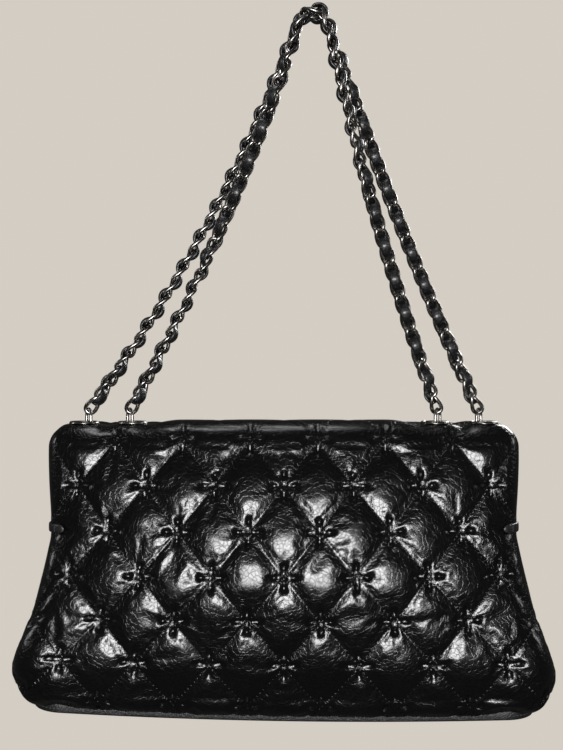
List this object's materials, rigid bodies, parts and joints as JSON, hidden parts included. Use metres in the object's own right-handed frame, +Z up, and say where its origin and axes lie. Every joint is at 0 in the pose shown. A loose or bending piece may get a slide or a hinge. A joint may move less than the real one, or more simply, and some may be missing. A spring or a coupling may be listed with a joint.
{
  "type": "chain shoulder bag",
  "caption": "Quilted soft flap bag on a doubled shoulder chain with a woven lace, hung by its crown; the flap opens and the bag swings below the chain.",
  "frame": {"origin": "the hang point: the inside of the chain's crown, where a hook or peg carries both loops", "axes": "+Z up, +X to the right as seen from the plain quilted back, +Y from that back towards the flap side"},
  "size_m": [0.302, 0.0879, 0.4056],
  "materials": {
    "glazed_leather": "black glazed leather, crackled and very glossy",
    "edge_leather": "black smooth leather, satin",
    "lace_leather": "black soft leather, semi-gloss",
    "gunmetal": "dark ruthenium-like plating, polished",
    "lining_cloth": "dark woven lining",
    "wadding": "fibre wadding",
    "board": "stiff fibre board"
  },
  "bodies": {
    "strap": {"chain_outer_left": "gunmetal", "chain_outer_right": "gunmetal", "chain_inner_left": "gunmetal", "chain_inner_right": "gunmetal", "lace_outer": "lace_leather", "lace_inner": "lace_leather"},
    "bag": {"eyelet_links": "gunmetal", "chain_crossings": "gunmetal", "eyelets": "gunmetal", "eyelet_washers": "gunmetal", "back_panel": "glazed_leather", "front_panel": "glazed_leather", "left_gusset": "glazed_leather", "right_gusset": "glazed_leather", "base_panel": "glazed_leather", "base_binding": "edge_leather", "back_wadding": "wadding", "front_wadding": "wadding", "base_board": "board", "lining": "lining_cloth", "inner_pocket": "lining_cloth", "side_strap_left": "edge_leather", "side_strap_right": "edge_leather", "snap_base": "gunmetal", "snap_backing": "gunmetal"},
    "flap": {"flap_panel": "glazed_leather", "flap_wadding": "wadding", "flap_facing": "edge_leather", "snap_cap": "gunmetal"}
  },
  "joints": [
    {"name": "bag_swing", "type": "hinge", "parent": "strap", "child": "bag", "pos_m": [-0.017, 0, -0.2296], "axis": [1, 0, 0], "range_deg": [-75, 25]},
    {"name": "flap_hinge", "type": "hinge", "parent": "bag", "child": "flap", "pos_m": [-0.017, 0.013, -0.235], "axis": [1, 0, 0], "range_deg": [0, 90]}
  ]
}
